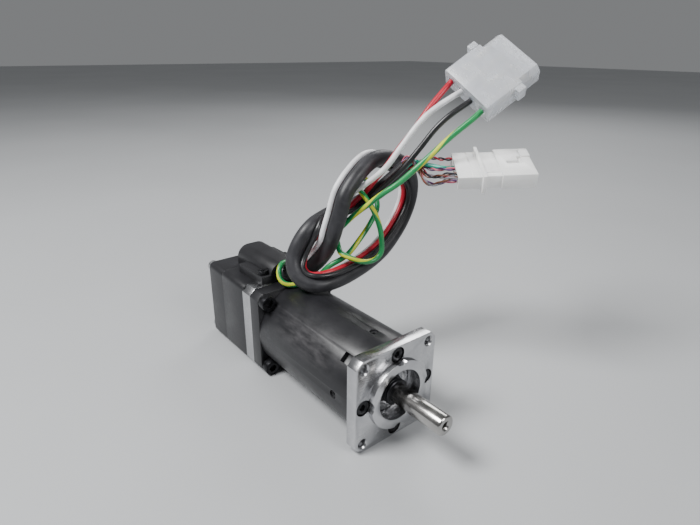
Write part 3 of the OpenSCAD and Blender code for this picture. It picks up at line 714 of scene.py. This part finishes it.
def opened(path, least, rounds=90):
    """Open out the bends that are tighter than least, in millimetres, and leave the rest."""
    p = path.copy()
    for _ in range(rounds):
        v = np.diff(p, axis=0)
        size = np.linalg.norm(v, axis=1)
        turn = np.arccos(np.clip((v[1:] * v[:-1]).sum(axis=1) / (size[1:] * size[:-1]), -1, 1))
        bend = 0.5 * (size[1:] + size[:-1]) / np.maximum(turn, 1e-6)
        tight = np.zeros(len(p))
        tight[1:-1] = np.clip(1.3 - bend / least, 0, 1)
        tight = np.convolve(tight, [0.3, 0.6, 1.0, 0.6, 0.3], "same").clip(0, 1)
        p[1:-1] += 0.5 * tight[1:-1, None] * (0.5 * (p[2:] + p[:-2]) - p[1:-1])
    return p


SPACING = 1.2
paths = {"jacket": spline(JACKET, 8), "earth": spline(EARTH, 6)}
for key, (exit_point, angle, tail) in CORES.items():
    paths[key] = spline(core_route(exit_point, angle, tail), 5)
paths = {key: evenly(path, SPACING) for key, path in paths.items()}
radii = {key: JACKET_R if key == "jacket" else CORE_R for key in paths}
paths = pushed_apart(paths, radii)
paths = {key: opened(path, 8.0 if key == "jacket" else 3.6) for key, path in paths.items()}


# The connectors' frames: X across, Y from the wires to the mating end
POWER = Matrix.Translation(Vector((-27.5, 59.5, 102.8)) * MM) @ Euler(
    [math.radians(a) for a in (42, 32, 4)]).to_matrix().to_4x4()
ENCODER = Matrix.Translation(Vector((-22.8, 50.4, 74)) * MM) @ Euler(
    [math.radians(a) for a in (3, 17, -39)]).to_matrix().to_4x4()
POWER_PITCH = 6.35


def wedge(x, half_width, y1, z0, z1):
    """A V-shaped cut that opens at y = 0 and runs out at y1."""
    bm = prism([(x - half_width, -0.5), (x + half_width, -0.5), (x, y1)], z0, z1)
    for v in bm.verts:
        v.co = (v.co.x, v.co.z, v.co.y)
    bmesh.ops.recalc_face_normals(bm, faces=bm.faces)
    return bm


def power_connector():
    """Four-way housing: a block with V cuts between its tubes, two ears and an open shell."""
    seats = [(i - 1.5) * POWER_PITCH for i in range(4)]
    body = [(-13.3, -3.9), (-12.4, -4.75), (12.4, -4.75), (13.3, -3.9),
            (13.3, 3.9), (12.4, 4.75), (-12.4, 4.75), (-13.3, 3.9)]
    shell = [(-12.3, -4.1), (12.3, -4.1), (12.3, 2.0), (10.2, 4.1), (-10.2, 4.1), (-12.3, 2.0)]
    adds = [prism(body, 0, 17), prism(shell, 16.5, 27)]
    adds.append(box(-15.5, -12.9, 13.4, 17, -1.2, 4.6))
    adds.append(box(12.9, 15.5, 13.4, 17, -1.2, 4.6))
    adds.append(box(-12.6, 12.6, 16.2, 17.6, -4.45, 4.45))
    cuts = []
    for x in seats:
        cuts.append(rod(x, -1, 2.6, 0, 1.7))
        cuts.append(rod(x, 2.4, 29, 0, 1.92))
    for i in range(3):
        x = (i - 1) * POWER_PITCH
        cuts.append(wedge(x, 1.55, 6.8, 2.3, 6))
        cuts.append(wedge(x, 1.55, 6.8, -6, -2.3))
    hollow = [(-11.3, -3.1), (11.3, -3.1), (11.3, 1.6), (9.7, 3.1), (-9.7, 3.1), (-11.3, 1.6)]
    towers = [rod(x, 20.5, 25.8, 0, 2.6) for x in seats]
    well = bmesh.new()
    well.from_mesh(combined(as_object(prism(hollow, 21, 28)), cuts=towers))
    cuts.append(well)
    return carve("power_housing", adds, cuts, POWER, 0.26, 2)


def encoder_connector():
    """Flat white housing: body, rib, raised front, latch tongue and its L-shaped slot."""
    adds = [
        box(-10.4, 10.4, 0, 10.4, -2.6, 2.6),
        box(-12.6, 12.6, 9.4, 10.8, -4.0, 4.0),
        box(-9.9, 9.9, 10.4, 18, -2.5, 2.6),
        box(-10.8, 10.8, 17.4, 31, -2.8, 3.3),
        box(-9.4, -3.2, 27.2, 31, 3.0, 4.0),
    ]
    cuts = [
        box(-0.7, 1.4, 20.8, 27.4, 2.0, 5),
        box(-4.2, -0.4, 25.6, 27.4, 2.0, 5),
        box(-9.9, 9.9, 5.4, 6.2, 2.35, 3),
        box(6.5, 7.3, 11.8, 16.8, 2.2, 3),
        box(-9.6, 9.6, 24.5, 32, -1.7, -0.25),
        box(-9.6, 9.6, 24.5, 32, 0.35, 1.6),
    ]
    for i in range(8):
        for z in (-1.25, 1.25):
            cuts.append(rod((i - 3.5) * 2.4, -1, 4, z, 0.85, segments=20))
    return carve("encoder_housing", adds, cuts, ENCODER, 0.16, 2)


power = settle(power_connector(), "clear_nylon", "power_connector")
feedback = settle(encoder_connector(), "white_plastic", "encoder_connector")


def at(place, point):
    return np.array(place @ (Vector(point) * MM)) / MM


def twisted(route, phase, gap, pitch):
    """One strand of a twisted pair round a route."""
    path = evenly(spline(route, 12), 0.5)
    t = tangents(path)
    u = transport(t, np.array([0.1, 0.2, 1.0]))
    w = np.cross(t, u)
    run = np.arange(len(path)) * 0.5
    ends = np.minimum(1, np.minimum(run, run[::-1]) / 3.0)
    a = phase + 2 * math.pi * run / pitch
    return path + (gap * ends)[:, None] * (np.cos(a)[:, None] * u + np.sin(a)[:, None] * w)


WIRE_COLORS = {
    "wires_red": (0.6, 0.03, 0.06), "wires_pink": (0.6, 0.14, 0.2), "wires_black": (0.02, 0.02, 0.03),
    "wires_grey": (0.22, 0.22, 0.25), "wires_purple": (0.12, 0.05, 0.16),
    "wires_brown": (0.16, 0.055, 0.03),
    "wires_teal": (0.02, 0.38, 0.27),
}


def joined(name, parts):
    """One piece made from several strands."""
    bm = bmesh.new()
    for part in parts:
        bm.from_mesh(part.data)
        bpy.data.objects.remove(part)
    mesh = bpy.data.meshes.new(name)
    bm.to_mesh(mesh)
    bm.free()
    smooth(mesh, 50)
    return bpy.data.objects.new(name, mesh)


def encoder_wires():
    """Seven twisted pairs and one thick wire, one piece for each colour."""
    end = paths["jacket"][-1]
    way = tangents(paths["jacket"])[-1]
    side = np.array([0.6, -0.64, 0.4])
    side = side - way * (side @ way)
    side /= np.linalg.norm(side)
    over = np.cross(way, side)

    def route(seat, turn, r, sag, row):
        a = math.radians(turn)
        start = end - 2 * way + r * (math.cos(a) * side + math.sin(a) * over)
        goal = at(ENCODER, (seat, 2.5, row))
        before = at(ENCODER, (seat, -3.5, row))
        near = start + 6 * way
        half = 0.5 * (near + before) + np.array([0, 0, -sag])
        return [start, near, half, before, goal]

    pairs = [
        ("wires_red", "wires_black", -7.8, 90, 1.6, -1.4, 1.2),
        ("wires_pink", "wires_red", -5.4, 130, 2.1, -0.2, -1.2),
        ("wires_pink", "wires_purple", 0.6, 200, 1.9, 1.8, 1.2),
        ("wires_red", "wires_grey", 2.6, 230, 2.2, 3.2, -1.2),
        ("wires_brown", "wires_black", 4.6, 270, 1.7, 4.4, 1.2),
        ("wires_purple", "wires_pink", 6.4, 300, 2.3, 5.6, -1.2),
        ("wires_grey", "wires_brown", 8.2, 335, 2.0, 6.6, 1.2),
    ]
    found = {key: [] for key in WIRE_COLORS}
    for one, two, seat, turn, r, sag, row in pairs:
        line = route(seat, turn, r, sag, row)
        pitch = 9 + 0.35 * seat
        found[one].append(tube("strand", twisted(line, seat, 0.44, pitch), 0.37, 10))
        found[two].append(tube("strand", twisted(line, seat + math.pi, 0.44, pitch), 0.37, 10))
    thick = evenly(spline(route(-2.4, 30, 1.0, 0.2, 0.0), 12), 0.6)
    found["wires_teal"].append(tube("strand", thick, 0.95, 14))
    made = []
    for key, parts in found.items():
        piece = settle(joined(key, parts), "signal_wires", look=wire_look(key, WIRE_COLORS[key]))
        made.append(piece)
    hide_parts("encoder_wires")
    return made


signal = encoder_wires()

jacket = tube("jacket_cable", paths["jacket"], JACKET_R, 32, wobble=0.012)
settle(jacket, "jacket_black", "encoder_cable")

CORE_LENGTHS = {"red": 0.288, "white": 0.305, "black": 0.29, "earth": 0.277}
for key, declared in CORE_LENGTHS.items():
    color = "green" if key == "earth" else key
    core = tube(key + "_power_core", paths[key], CORE_R, 20)
    settle(core, "insulation_" + color, key + "_core")


# ---------------------------------------------------------------- drive unit
BEVELS = {
    "output_flange": 0.22, "motor_bracket": 0.25, "adapter_flange": 0.3, "gearhead_housing": 0.2,
    "motor_case": 0.3, "rear_cover": 0.8, "cable_outlet": 0.35, "flange_screws": 0.18,
    "adapter_screws": 0.25, "rear_cover_screws": 0.18, "outlet_screws": 0.15,
}
# The barrel's coating, with light grey streaks painted along its highlight line: part painted highlight,
# part rub marks
BARREL_WEAR_AND_HIGHLIGHT = coated("black_coating_scuffed_highlight", (0.012, 0.012, 0.014), 0.36, scuffed_highlight=True)
for key, width in BEVELS.items():
    dressed(key, width, look=BARREL_WEAR_AND_HIGHLIGHT if key == "gearhead_housing" else None,
            segments=4 if key == "rear_cover" else 2, cuts=mouths() if key == "output_flange" else ())
dressed("output_shaft", 0.15, body="output")

# Collar: the grooved black sleeve and snap ring at the shaft's root
collar = lathe("shaft_collar", [
    (-3.8, 5.3), (-3.5, 5.6), (-2.9, 5.6), (-2.6, 5.35), (-1.95, 5.3), (-1.8, 5.15), (-1.75, 4.9),
    (-1.35, 4.9), (-1.3, 5.15), (-1.15, 5.3), (-0.65, 5.3), (-0.5, 5.15), (-0.45, 4.9), (-0.05, 4.9),
    (0.0, 5.15), (0.15, 5.3), (0.5, 5.3), (0.8, 5.0), (0.8, 4.02), (-3.8, 4.02)])
settle(collar, "black_screws", "shaft_snap_ring", body="output")

# Seal: a rubber ring with a rolled outer edge, a groove and a lip round the shaft
seal = lathe("shaft_seal", [
    (-8.6, 10.45), (-4.8, 10.45), (-4.5, 10.2), (-4.5, 9.2), (-4.9, 8.9), (-5.3, 8.4), (-5.3, 6.9),
    (-4.9, 6.4), (-4.4, 5.9), (-4.3, 5.2), (-4.5, 4.6), (-5.0, 4.12), (-5.6, 4.06), (-6.4, 4.4),
    (-8.6, 4.8)])
settle(seal, "seal_rubber", "oil_seal", look=seal_look())


# ---------------------------------------------------------------- stage
def make_stage():
    bm = bmesh.new()
    bmesh.ops.create_grid(bm, x_segments=1, y_segments=1, size=4)
    floor = as_object(bm, "floor")
    floor.location.z = -0.02002
    collection.objects.link(floor)
    look = Look("floor", (0.44, 0.45, 0.46), 0.5)
    cloud = look.noise(3, 3)
    look.put("Base Color", look.mix(look.span(cloud, 0.3, 0.7), (0.42, 0.43, 0.44), (0.46, 0.47, 0.48)))
    floor.data.materials.append(look.mat)

    def lamp(name, place, target, size, power_w, color=(1, 1, 1)):
        data = bpy.data.lights.new(name, "AREA")
        data.shape, data.size, data.energy, data.color = "DISK", size, power_w, color
        obj = bpy.data.objects.new(name, data)
        obj.location = place
        obj.rotation_euler = (Vector(target) - Vector(place)).to_track_quat("-Z", "Y").to_euler()
        collection.objects.link(obj)

    aim = (-0.05, 0.01, 0.02)
    lamp("key", (-0.2, -0.5, 0.75), aim, 0.36, 13)
    lamp("front", (0.75, 0.1, 0.55), aim, 0.4, 4)
    lamp("side", (-0.5, 0.8, 0.7), aim, 0.5, 4)
    world = bpy.data.worlds.new("studio")
    world.use_nodes = True
    back = world.node_tree.nodes["Background"]
    back.inputs[0].default_value = (0.86, 0.88, 0.9, 1)
    back.inputs[1].default_value = 0.24
    bpy.context.scene.world = world


make_stage()
